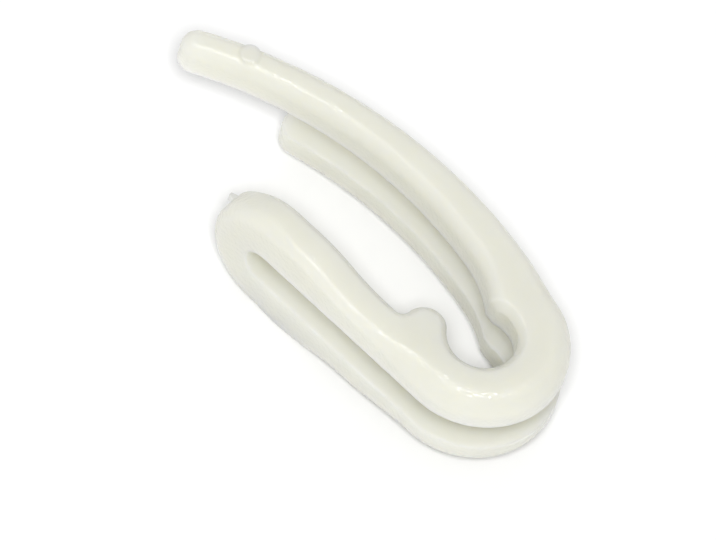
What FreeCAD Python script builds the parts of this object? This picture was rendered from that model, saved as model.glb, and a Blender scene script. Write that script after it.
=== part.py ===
import FreeCAD, Part
import math
import os

import Sketcher

# Moulded nylon curtain hook: one wire-like strand folded in two at the return loop, so that
# two hooks lie side by side. It lies on its side, the longer prong in the upper strand.
# The plan is drawn about the axis of the round seat that the runner's eye snaps into:
# +X runs from the loop to the bend, +Y from the lower arm to the prongs, Z across the strands.

doc = FreeCAD.newDocument("curtain_hook")
V = FreeCAD.Vector

# Driving sizes, in millimetres and degrees
sizes = [
    ("gap_width", 2.05, "clear slot between the two strands"),
    ("strand_thick", 1.85, "strand across the slot, in the prongs and the bend"),
    ("loop_thick", 2.56, "strand across the slot, at the return loop"),
    ("seat_radius", 1.85, "round seat inside the bend"),
    ("nub_radius", 1.12, "rounded nub that closes the seat's mouth"),
    ("nub_offset", 2.36, "nub centre from the seat axis, along the arm"),
    ("nub_root_radius", 0.5, "hollow where the nub leaves the arm"),
    ("arm_drop", 4.45, "outer side of the arm below the seat axis"),
    ("arm_width", 2.15, "lower arm, seen in plan"),
    ("ramp_start", 4.5, "from the seat axis to where the arm starts to thicken"),
    ("ramp_end", 9.5, "from the seat axis to where the arm is at full thickness"),
    ("loop_reach", 11.0, "from the seat axis to the centre of the return loop"),
    ("bend_radius", 4.58, "outer side of the bend"),
    ("shoulder_angle", 13.1, "slope of the straight shoulder between bend and prong"),
    ("shoulder_length", 2.75, "straight shoulder between bend and prong"),
    ("prong_outer_radius", 27.98, "outer side of the prongs"),
    ("prong_inner_radius", 24.43, "inner side of the prongs"),
    ("prong_width", 2.18, "prong at its crest, seen in plan"),
    ("prong_taper", 1.17, "shift of the inner arc, which narrows the prong to its tip"),
    ("near_joint", 3.9, "from the seat axis to where the long prong turns in to its lip"),
    ("far_joint", 3.1, "from the seat axis to where the short prong turns in to its lip"),
    ("lip_radius", 6.2, "inner side of the prong down to the lip"),
    ("near_reach", 21.6, "from the seat axis to the long prong's tip centre"),
    ("far_reach", 15.85, "from the seat axis to the short prong's tip centre"),
    ("lip_round", 0.7, "rounded edge at the lip"),
    ("prong_round", 0.7, "rounded edge along the prongs"),
    ("bend_round", 1.15, "rounded edge along the outside of the bend"),
    ("arm_round", 0.5, "rounded edge along the arm's outer side"),
    ("loop_round", 0.75, "rounded edge round the return loop"),
    ("inner_bevel", 0.4, "bevelled edge along the seat, the nub and the arm's inner side"),
    ("disc_radius", 0.55, "raised ejector mark on the long prong"),
    ("disc_height", 0.09, "ejector mark above the flat of the prong"),
    ("disc_x", 19.3, "ejector mark from the seat axis, along the arm"),
    ("disc_inset", 0.74, "ejector mark's centre from the prong's outer side"),
    ("nib_height", 0.36, "gate nib past the end of the loop"),
    ("nib_width", 0.6, "gate nib at its root, seen in plan"),
    ("nib_depth", 1.4, "gate nib at its root, across the slot"),
    ("nib_tip_width", 0.2, "gate nib where it was broken off, seen in plan"),
    ("nib_tip_depth", 0.5, "gate nib where it was broken off, across the slot"),
    ("nib_slope", 0.2, "from the top of the gate nib's root to the top of its tip"),
    ("nib_rise", 0.04, "gate nib above the middle of the slot"),
    ("nib_inset", 0.1, "gate nib from the arm's inner side"),
]

sheet = doc.addObject("Spreadsheet::Sheet", "Sizes")
for row, (alias, value, note) in enumerate(sizes, start=1):
    sheet.set("A%d" % row, alias)
    sheet.set("B%d" % row, str(value))
    sheet.set("C%d" % row, note)
    sheet.setAlias("B%d" % row, alias)
doc.recompute()


def size(alias):
    return float(sheet.get(alias))


body = doc.addObject("PartDesign::Body", "blank")
body.Label = "blank"


def origin_plane(role):
    for feature in body.Origin.OriginFeatures:
        if feature.Role == role:
            return feature
    raise ValueError(role)


def new_sketch(name, role, offset=None):
    sketch = body.newObject("Sketcher::SketchObject", name)
    sketch.AttachmentSupport = [(origin_plane(role), "")]
    sketch.MapMode = "FlatFace"
    if offset is not None:
        sketch.setExpression("AttachmentOffset.Base.z", offset)
    return sketch


def arc(centre, radius, start, end):
    circle = Part.Circle(V(centre[0], centre[1], 0), V(0, 0, 1), radius)
    return Part.ArcOfCircle(circle, start, end)


def line(a, b):
    return Part.LineSegment(V(a[0], a[1], 0), V(b[0], b[1], 0))


def bind(sketch, name, index, expression):
    sketch.renameConstraint(index, name)
    sketch.setExpression("Constraints." + name, expression)


def rad_between(centre, point):
    return math.atan2(point[1] - centre[1], point[0] - centre[0])


# Places of the tangent points of the plan outline, from the driving sizes
def outline_points(side):
    p = {}
    phi = math.radians(size("shoulder_angle"))
    up = (math.sin(phi), math.cos(phi))
    bend = size("bend_radius")
    p["bend_c"] = (0.0, bend - size("arm_drop"))
    p["bend_end"] = (p["bend_c"][0] + bend * up[0], p["bend_c"][1] + bend * up[1])
    run = size("shoulder_length")
    p["prong_start"] = (p["bend_end"][0] - run * up[1], p["bend_end"][1] + run * up[0])
    outer = size("prong_outer_radius")
    inner = size("prong_inner_radius")
    p["outer_c"] = (p["prong_start"][0] - outer * up[0], p["prong_start"][1] - outer * up[1])
    p["inner_c"] = (
        p["outer_c"][0] - size("prong_taper"),
        p["outer_c"][1] + outer - size("prong_width") - inner,
    )
    # The tip circle touches both arcs: its centre is found along the given reach
    low, high = 0.0, 60.0
    x = -size(side + "_reach")
    for _ in range(80):
        y = 0.5 * (low + high) - 30.0
        to_outer = outer - math.dist((x, y), p["outer_c"])
        to_inner = math.dist((x, y), p["inner_c"]) - inner
        if to_inner < to_outer:
            low = 0.5 * (low + high)
        else:
            high = 0.5 * (low + high)
    p["tip_c"] = (x, y)
    p["tip_r"] = to_outer
    joint_x = -size(side + "_joint")
    dx = joint_x - p["inner_c"][0]
    p["lip_start"] = (joint_x, p["inner_c"][1] + math.sqrt(inner ** 2 - dx ** 2))
    turn = rad_between(p["inner_c"], p["lip_start"])
    lip = size("lip_radius")
    p["lip_c"] = (
        p["lip_start"][0] - lip * math.cos(turn),
        p["lip_start"][1] - lip * math.sin(turn),
    )
    # The lip is where the lip arc meets the seat circle
    seat = size("seat_radius")
    apart = math.hypot(*p["lip_c"])
    along = (seat ** 2 - lip ** 2 + apart ** 2) / (2 * apart)
    across = math.sqrt(seat ** 2 - along ** 2)
    ux, uy = p["lip_c"][0] / apart, p["lip_c"][1] / apart
    p["lip"] = (along * ux + across * uy, along * uy - across * ux)
    nub = size("nub_radius")
    nub_x = -size("nub_offset")
    p["nub_c"] = (nub_x, -math.sqrt((seat + nub) ** 2 - nub_x ** 2))
    root = size("nub_root_radius")
    inner_y = size("arm_width") - size("arm_drop")
    rise = inner_y + root - p["nub_c"][1]
    p["root_c"] = (nub_x - math.sqrt((nub + root) ** 2 - rise ** 2), inner_y + root)
    return p


# Plan outline of one strand: arm stub, bend, shoulder, prong, lip, seat and nub
def strand_outline(side, offset):
    sketch = new_sketch(side + "_plan", "XY_Plane", offset)
    p = outline_points(side)
    stub = -size("ramp_start")
    outer_y = -size("arm_drop")
    inner_y = size("arm_width") - size("arm_drop")
    phi = math.radians(size("shoulder_angle"))
    quarter = math.pi / 2
    tip_out = rad_between(p["outer_c"], p["tip_c"])
    tip_in = rad_between(p["inner_c"], p["tip_c"])
    nub_in = rad_between(p["nub_c"], (0, 0))
    root_in = rad_between(p["root_c"], p["nub_c"])
    sketch.addGeometry(
        [
            line((stub, outer_y), (0, outer_y)),
            arc(p["bend_c"], size("bend_radius"), -quarter, quarter - phi),
            line(p["bend_end"], p["prong_start"]),
            arc(p["outer_c"], size("prong_outer_radius"), quarter - phi, tip_out),
            arc(p["tip_c"], p["tip_r"], tip_out, tip_in + math.pi),
            arc(
                p["inner_c"],
                size("prong_inner_radius"),
                rad_between(p["inner_c"], p["lip_start"]),
                tip_in,
            ),
            arc(
                p["lip_c"],
                size("lip_radius"),
                rad_between(p["lip_c"], p["lip"]),
                rad_between(p["lip_c"], p["lip_start"]),
            ),
            arc(
                (0, 0),
                size("seat_radius"),
                rad_between((0, 0), p["nub_c"]),
                rad_between((0, 0), p["lip"]),
            ),
            arc(p["nub_c"], size("nub_radius"), nub_in, root_in + math.pi),
            arc(p["root_c"], size("nub_root_radius"), -quarter, root_in),
            line((p["root_c"][0], inner_y), (stub, inner_y)),
            line((stub, inner_y), (stub, outer_y)),
        ],
        False,
    )
    joint = Sketcher.Constraint
    sketch.addConstraint(
        [
            joint("Tangent", 0, 2, 1, 1),
            joint("Tangent", 1, 2, 2, 1),
            joint("Tangent", 2, 2, 3, 1),
            joint("Tangent", 3, 2, 4, 1),
            joint("Tangent", 4, 2, 5, 2),
            joint("Tangent", 5, 1, 6, 2),
            joint("Coincident", 6, 1, 7, 2),
            joint("Tangent", 7, 1, 8, 1),
            joint("Tangent", 8, 2, 9, 2),
            joint("Tangent", 9, 1, 10, 1),
            joint("Coincident", 10, 2, 11, 1),
            joint("Coincident", 11, 2, 0, 1),
            joint("Horizontal", 0),
            joint("Horizontal", 10),
            joint("Vertical", 11),
            joint("Coincident", 7, 3, -1, 1),
            joint("PointOnObject", 1, 3, -2),
        ]
    )
    driven = [
        ("bend_r", joint("Radius", 1, size("bend_radius")), "Sizes.bend_radius"),
        ("outer_r", joint("Radius", 3, size("prong_outer_radius")), "Sizes.prong_outer_radius"),
        ("inner_r", joint("Radius", 5, size("prong_inner_radius")), "Sizes.prong_inner_radius"),
        ("lip_r", joint("Radius", 6, size("lip_radius")), "Sizes.lip_radius"),
        ("seat_r", joint("Radius", 7, size("seat_radius")), "Sizes.seat_radius"),
        ("nub_r", joint("Radius", 8, size("nub_radius")), "Sizes.nub_radius"),
        ("root_r", joint("Radius", 9, size("nub_root_radius")), "Sizes.nub_root_radius"),
        ("drop", joint("DistanceY", 0, 1, -1, 1, size("arm_drop")), "Sizes.arm_drop"),
        ("wide", joint("DistanceY", 11, 2, 11, 1, size("arm_width")), "Sizes.arm_width"),
        ("stub", joint("DistanceX", 11, 1, -1, 1, size("ramp_start")), "Sizes.ramp_start"),
        ("run", joint("Distance", 2, size("shoulder_length")), "Sizes.shoulder_length"),
        ("slope", joint("Angle", 2, math.pi - phi), "180 - Sizes.shoulder_angle"),
        ("taper", joint("DistanceX", 5, 3, 3, 3, size("prong_taper")), "Sizes.prong_taper"),
        (
            "spread",
            joint("DistanceY", 3, 3, 5, 3, p["inner_c"][1] - p["outer_c"][1]),
            "Sizes.prong_outer_radius - Sizes.prong_width - Sizes.prong_inner_radius",
        ),
        ("reach", joint("DistanceX", 4, 3, -1, 1, -p["tip_c"][0]), "Sizes." + side + "_reach"),
        ("turn", joint("DistanceX", 6, 2, -1, 1, -p["lip_start"][0]), "Sizes." + side + "_joint"),
        ("nub_x", joint("DistanceX", 8, 3, -1, 1, size("nub_offset")), "Sizes.nub_offset"),
    ]
    for label, constraint, expression in driven:
        bind(sketch, label, sketch.addConstraint(constraint), expression)
    return sketch


# Side outline of the return loop: both arms, the ramps that thicken them and the round end
def loop_outline(name):
    sketch = new_sketch(name, "XZ_Plane", "Sizes.arm_drop - Sizes.arm_width")
    half = size("gap_width") / 2
    thin = half + size("strand_thick")
    full = half + size("loop_thick")
    start = -size("ramp_start")
    end = -size("ramp_end")
    far = -size("loop_reach")
    rise = full - thin
    run = start - end
    ramp = (run ** 2 + rise ** 2) / (4 * rise)
    bow = math.asin(run / 2 / ramp)
    quarter = math.pi / 2
    sketch.addGeometry(
        [
            line((start, half), (start, thin)),
            arc((start, thin + ramp), ramp, -quarter - bow, -quarter),
            arc((end, full - ramp), ramp, quarter - bow, quarter),
            line((end, full), (far, full)),
            arc((far, 0), full, quarter, 3 * quarter),
            line((far, -full), (end, -full)),
            arc((end, ramp - full), ramp, -quarter, -quarter + bow),
            arc((start, -thin - ramp), ramp, quarter, quarter + bow),
            line((start, -thin), (start, -half)),
            line((start, -half), (far, -half)),
            arc((far, 0), half, quarter, 3 * quarter),
            line((far, half), (start, half)),
        ],
        False,
    )
    joint = Sketcher.Constraint
    sketch.addConstraint(
        [
            joint("Coincident", 0, 2, 1, 2),
            joint("Tangent", 1, 1, 2, 1),
            joint("Tangent", 2, 2, 3, 1),
            joint("Tangent", 3, 2, 4, 1),
            joint("Tangent", 4, 2, 5, 1),
            joint("Tangent", 5, 2, 6, 1),
            joint("Tangent", 6, 2, 7, 2),
            joint("Coincident", 7, 1, 8, 1),
            joint("Coincident", 8, 2, 9, 1),
            joint("Tangent", 9, 2, 10, 2),
            joint("Tangent", 10, 1, 11, 1),
            joint("Coincident", 11, 2, 0, 1),
            joint("Horizontal", 3),
            joint("Horizontal", 5),
            joint("Horizontal", 9),
            joint("Horizontal", 11),
            joint("Vertical", 0),
            joint("Vertical", 8),
            joint("Vertical", 1, 3, 1, 2),
            joint("Vertical", 7, 3, 7, 1),
            joint("PointOnObject", 4, 3, -1),
            joint("Coincident", 10, 3, 4, 3),
            joint("Equal", 1, 2),
            joint("Equal", 6, 7),
        ]
    )
    driven = [
        ("slot_r", joint("Radius", 10, half), "Sizes.gap_width / 2"),
        ("loop_r", joint("Radius", 4, full), "Sizes.gap_width / 2 + Sizes.loop_thick"),
        ("reach", joint("DistanceX", 4, 3, -1, 1, -far), "Sizes.loop_reach"),
        ("near_x", joint("DistanceX", 0, 1, -1, 1, -start), "Sizes.ramp_start"),
        ("far_x", joint("DistanceX", 8, 2, -1, 1, -start), "Sizes.ramp_start"),
        ("near_t", joint("DistanceY", 0, 1, 0, 2, thin - half), "Sizes.strand_thick"),
        ("far_t", joint("DistanceY", 8, 1, 8, 2, thin - half), "Sizes.strand_thick"),
        ("near_ramp", joint("DistanceX", 3, 1, -1, 1, -end), "Sizes.ramp_end"),
        ("far_ramp", joint("DistanceX", 5, 2, -1, 1, -end), "Sizes.ramp_end"),
    ]
    for label, constraint, expression in driven:
        bind(sketch, label, sketch.addConstraint(constraint), expression)
    return sketch


def pad(name, sketch, length):
    feature = body.newObject("PartDesign::Pad", name)
    feature.Profile = sketch
    feature.setExpression("Length", length)
    feature.Refine = True
    return feature


# Return loop and both arms
loop = pad("return_loop", loop_outline("loop_side"), "Sizes.arm_width")
doc.recompute()

# Upper strand with the long prong, lower strand with the short one
near_plan = strand_outline("near", "Sizes.gap_width / 2")
near = pad("near_strand", near_plan, "Sizes.strand_thick")
doc.recompute()
far_plan = strand_outline("far", "-Sizes.gap_width / 2")
far = pad("far_strand", far_plan, "Sizes.strand_thick")
far.Reversed = True
doc.recompute()
body.Tip = far
doc.recompute()

# The origin is under the middle of the hook as it lies
box = body.Shape.optimalBoundingBox(False, False)
place = V(-box.Center.x, -box.Center.y, -box.ZMin)
body.Placement = FreeCAD.Placement(place, FreeCAD.Rotation())
doc.recompute()


def other_end(edge, point):
    ends = [edge.valueAt(edge.FirstParameter), edge.valueAt(edge.LastParameter)]
    return ends[1] if ends[0].distanceToPoint(point) < ends[1].distanceToPoint(point) else ends[0]


def heading(edge, point):
    near_first = edge.valueAt(edge.FirstParameter).distanceToPoint(point) < 1e-5
    at = edge.FirstParameter if near_first else edge.LastParameter
    return edge.tangentAt(at) * (1 if near_first else -1)


# Edges that follow one another smoothly from a corner, as numbers of the solid's edges
def smooth_run(shape, corner, first):
    run = [first]
    point = other_end(shape.Edges[first - 1], corner)
    while True:
        arriving = heading(shape.Edges[run[-1] - 1], point) * -1
        found = None
        for index, edge in enumerate(shape.Edges, start=1):
            ends = [vertex.Point.distanceToPoint(point) for vertex in edge.Vertexes]
            if index in run or min(ends) > 1e-5:
                continue
            if heading(edge, point).getAngle(arriving) < 0.01:
                found = index
        if found is None:
            return run
        run.append(found)
        point = other_end(shape.Edges[found - 1], point)


# Rounded edge along the outside, from the upper strand's lip round the loop to the lower
# strand's lip. Its radius grows from the prongs to the bend, and at the tips it stays within them.
solid = body.Shape
top = size("gap_width") / 2 + size("strand_thick")
near_points = outline_points("near")
corner = V(near_points["lip"][0], near_points["lip"][1], top) + place
level = []
for index, edge in enumerate(solid.Edges, start=1):
    if min(vertex.Point.distanceToPoint(corner) for vertex in edge.Vertexes) < 1e-4:
        if abs(heading(edge, corner).z) < 0.5:
            level.append(index)
level.sort(key=lambda index: solid.Edges[index - 1].Curve.Radius)
outside = smooth_run(solid, corner, level[1])
slimmest = min(near_points["tip_r"], outline_points("far")["tip_r"])
prong_round = min(size("prong_round"), 0.9 * slimmest)
stations = [size("lip_round")] + [prong_round] * 4 + [size("bend_round")] * 2
stations += [size("arm_round")] * 3 + [size("loop_round")]
stations += stations[::-1]
if len(outside) != len(stations) - 1:
    raise RuntimeError("the rounded edge is in %d parts" % len(outside))
rounding = doc.addObject("Part::Fillet", "rounded_outside")
rounding.Base = body
rounding.Edges = [
    (index, stations[step], stations[step + 1]) for step, index in enumerate(outside)
]
doc.recompute()

# Bevelled edge along the inside, from lip to lip by way of the seats, the nubs and the loop
solid = rounding.Shape
ramp = V(-size("ramp_start"), size("arm_width") - size("arm_drop"), top) + place
level = []
for index, edge in enumerate(solid.Edges, start=1):
    if min(vertex.Point.distanceToPoint(ramp) for vertex in edge.Vertexes) < 1e-4:
        if abs(heading(edge, ramp).x) > 0.9:
            level.append(index)
inside = smooth_run(solid, ramp, level[0]) + smooth_run(solid, ramp, level[1])
bevel = doc.addObject("Part::Chamfer", "bevelled_inside")
bevel.Base = rounding
bevel.Edges = [(index, size("inner_bevel"), size("inner_bevel")) for index in inside]
doc.recompute()

# Ejector mark on the long prong: a flat disc that stands out of the rounded edge
mark = doc.addObject("Part::Cylinder", "ejector_mark")
mark.setExpression("Radius", "Sizes.disc_radius")
mark.setExpression("Height", "Sizes.strand_thick / 2 + Sizes.disc_height")
reach = size("prong_outer_radius") - size("disc_inset")
over = -size("disc_x") - near_points["outer_c"][0]
mark_y = near_points["outer_c"][1] + math.sqrt(reach ** 2 - over ** 2)
mark.Placement = FreeCAD.Placement(
    place + V(-size("disc_x"), mark_y, top - size("strand_thick") / 2),
    FreeCAD.Rotation(),
)

# Gate nib on the end of the loop, a stub that narrows to where it was broken off
nib = doc.addObject("Part::Wedge", "gate_nib")
nib.setExpression("Xmax", "Sizes.nib_width")
nib.setExpression("Zmax", "Sizes.nib_depth")
nib.setExpression("Ymax", "Sizes.loop_thick / 4 + Sizes.nib_height")
nib.setExpression("X2min", "(Sizes.nib_width - Sizes.nib_tip_width) / 2")
nib.setExpression("X2max", "(Sizes.nib_width + Sizes.nib_tip_width) / 2")
nib.setExpression("Z2min", "Sizes.nib_depth - Sizes.nib_slope - Sizes.nib_tip_depth")
nib.setExpression("Z2max", "Sizes.nib_depth - Sizes.nib_slope")
root_x = size("loop_reach") + size("gap_width") / 2 + size("loop_thick") * 3 / 4
root_y = size("arm_width") - size("arm_drop") - size("nib_inset") - size("nib_width")
root_z = size("nib_rise") - size("nib_depth") / 2
nib.Placement = FreeCAD.Placement(
    place + V(-root_x, root_y, root_z), FreeCAD.Rotation(V(0, 0, 1), 90)
)
hook = doc.addObject("Part::MultiFuse", "curtain_hook")
hook.Label = "curtain_hook"
hook.Shapes = [bevel, mark, nib]
hook.Refine = True
doc.recompute()

for item in doc.Objects:
    if "Invalid" in item.State or "Error" in item.State:
        raise RuntimeError("%s failed: %s" % (item.Name, item.State))
if hook.Shape.isNull() or not hook.Shape.isValid() or len(hook.Shape.Solids) != 1:
    raise RuntimeError("the hook is not one valid solid")

box = hook.Shape.optimalBoundingBox(False, False)
print("seat axis at %.3f %.3f, slot middle at %.3f" % (place.x, place.y, place.z))
print("box %.3f x %.3f x %.3f" % (box.XLength, box.YLength, box.ZLength))
print("volume %.2f mm3, before rounding %.2f" % (hook.Shape.Volume, body.Shape.Volume))

os.makedirs("parts", exist_ok=True)
hook.Shape.exportStep("parts/curtain_hook.step")
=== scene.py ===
import math

import bpy
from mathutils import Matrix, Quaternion, Vector

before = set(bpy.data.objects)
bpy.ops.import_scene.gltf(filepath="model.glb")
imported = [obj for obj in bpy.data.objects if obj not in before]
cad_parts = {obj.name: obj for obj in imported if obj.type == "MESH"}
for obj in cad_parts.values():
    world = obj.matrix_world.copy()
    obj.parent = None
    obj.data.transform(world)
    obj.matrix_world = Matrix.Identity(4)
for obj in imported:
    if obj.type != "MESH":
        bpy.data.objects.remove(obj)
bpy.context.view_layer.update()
scene = bpy.context.scene
print("loaded", sorted(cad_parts))


def addNode(tree, kind, place, **values):
    node = tree.nodes.new(kind)
    node.location = place
    for name, value in values.items():
        node.inputs[name].default_value = value
    return node


# natural nylon: off-white, a little see-through, with the fine grain of the mould
nylonLook = {
    "colour": (0.692, 0.692, 0.631, 1.0),
    "deepColour": (0.66, 0.66, 0.595, 1.0),  # where the plastic is a little cloudier
    "surface": {
        "Roughness": 0.5,
        "IOR": 1.53,
        "Specular IOR Level": 0.12,
        "Coat Weight": 0.5,  # the coat is the smooth skin that the mould leaves
        "Coat Roughness": 0.15,
        "Coat IOR": 1.5,
        "Subsurface Weight": 1.0,
        "Subsurface Radius": (1.0, 0.95, 0.75),
        "Subsurface Scale": 0.0035,
    },
    "cloud": {"Scale": 260.0, "Detail": 3.0},
    "ripple": {"Scale": 520.0, "Detail": 1.0},
    "rippleDepth": 0.00003,
    "grain": {"Scale": 4200.0, "Detail": 2.0},
    "grainDepth": 0.00006,
    "edgeSoftness": 0.0003,  # moulded edges are never quite sharp
    "edgeSamples": 6,
}


def makeNylon(look):
    material = bpy.data.materials.new("nylon")
    material.use_nodes = True
    tree = material.node_tree
    shader = tree.nodes["Principled BSDF"]
    for name, value in look["surface"].items():
        shader.inputs[name].default_value = value
    place = addNode(tree, "ShaderNodeTexCoord", (-1100, 0))
    # cloudiness of the plastic
    cloud = addNode(tree, "ShaderNodeTexNoise", (-850, 200), **look["cloud"])
    tint = addNode(tree, "ShaderNodeMix", (-400, 250))
    tint.data_type = "RGBA"
    tint.inputs["A"].default_value = look["colour"]
    tint.inputs["B"].default_value = look["deepColour"]
    tree.links.new(place.outputs["Object"], cloud.inputs["Vector"])
    tree.links.new(cloud.outputs["Fac"], tint.inputs["Factor"])
    tree.links.new(tint.outputs["Result"], shader.inputs["Base Color"])
    # softened edges and an uneven surface, with fine grain in the skin alone
    ripple = addNode(tree, "ShaderNodeTexNoise", (-850, -100), **look["ripple"])
    grain = addNode(tree, "ShaderNodeTexNoise", (-850, -350), **look["grain"])
    edges = addNode(tree, "ShaderNodeBevel", (-750, -600), Radius=look["edgeSoftness"])
    edges.samples = look["edgeSamples"]
    wide = addNode(tree, "ShaderNodeBump", (-500, -100), Distance=look["rippleDepth"])
    fine = addNode(tree, "ShaderNodeBump", (-250, -200), Distance=look["grainDepth"])
    for source, bump in ((ripple, wide), (grain, fine)):
        tree.links.new(place.outputs["Object"], source.inputs["Vector"])
        tree.links.new(source.outputs["Fac"], bump.inputs["Height"])
    tree.links.new(edges.outputs["Normal"], wide.inputs["Normal"])
    tree.links.new(wide.outputs["Normal"], fine.inputs["Normal"])
    tree.links.new(wide.outputs["Normal"], shader.inputs["Normal"])
    tree.links.new(fine.outputs["Normal"], shader.inputs["Coat Normal"])
    return material


nylon = makeNylon(nylonLook)
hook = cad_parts["curtain_hook"]
hook.data.materials.clear()
hook.data.materials.append(nylon)
print("nylon on", hook.name)

# pale table
tableLook = {"size": 4.0, "colour": (0.95, 0.95, 0.95, 1.0), "roughness": 0.9}
bpy.ops.mesh.primitive_plane_add(size=tableLook["size"], location=(0, 0, 0))
table = bpy.context.object
table.name = "table"
paper = bpy.data.materials.new("paper")
paper.use_nodes = True
paperShader = paper.node_tree.nodes["Principled BSDF"]
paperShader.inputs["Base Color"].default_value = tableLook["colour"]
paperShader.inputs["Roughness"].default_value = tableLook["roughness"]
table.data.materials.append(paper)
print("table set")

# camera above the hook, rolled so that the arm runs down to the right
cameraSet = {
    "azimuth": 28.79,
    "elevation": 58.0,
    "roll": 17.6,
    "aim": (0.00195, -0.00259, 0.00573),
    "widthAtAim": 0.03634,
    "lens": 1000.0,  # long, for almost no perspective
    "sensor": 36.0,
    "clip": (0.05, 50.0),
}


def makeCamera(values):
    a, e = math.radians(values["azimuth"]), math.radians(values["elevation"])
    back = Vector((math.sin(a) * math.cos(e), -math.cos(a) * math.cos(e), math.sin(e)))
    far = values["widthAtAim"] * values["lens"] / values["sensor"]
    data = bpy.data.cameras.new("camera")
    data.lens = values["lens"]
    data.sensor_width = values["sensor"]
    data.clip_start, data.clip_end = values["clip"]
    camera = bpy.data.objects.new("camera", data)
    scene.collection.objects.link(camera)
    camera.location = Vector(values["aim"]) + back * far
    turn = Quaternion((0, 0, 1), math.radians(values["roll"]))
    camera.rotation_euler = ((-back).to_track_quat("-Z", "Y") @ turn).to_euler()
    return camera


scene.camera = makeCamera(cameraSet)
print("camera set")

# key from near the camera, a weak fill from behind, a glint from above for the highlight, and a bright room
lightSet = [
    {"name": "key", "at": (0.181, -0.329, 0.65), "size": 0.2, "power": 3.8, "shows": "diffuse"},
    {"name": "fill", "at": (-0.3, 0.35, 0.45), "size": 0.6, "power": 0.6, "shows": "diffuse"},
    {"name": "glint", "at": (0.0, 0.0, 0.65), "size": 0.05, "power": 1.9, "shows": "gloss"},
]
roomLight = {"colour": (1.0, 1.0, 1.0, 1.0), "strength": 0.45}
scene.view_settings.view_transform = "Standard"  # a white table stays white


def makeLight(values):
    data = bpy.data.lights.new(values["name"], "AREA")
    data.shape = "DISK"
    data.size = values["size"]
    data.energy = values["power"]
    light = bpy.data.objects.new(values["name"], data)
    scene.collection.objects.link(light)
    light.location = values["at"]
    light.visible_diffuse = values["shows"] == "diffuse"
    light.visible_glossy = values["shows"] == "gloss"
    light.rotation_euler = (-Vector(values["at"])).to_track_quat("-Z", "Y").to_euler()


for values in lightSet:
    makeLight(values)
world = bpy.data.worlds.new("room")
world.use_nodes = True
sky = world.node_tree.nodes["Background"]
sky.inputs["Color"].default_value = roomLight["colour"]
sky.inputs["Strength"].default_value = roomLight["strength"]
scene.world = world
print("lights set")
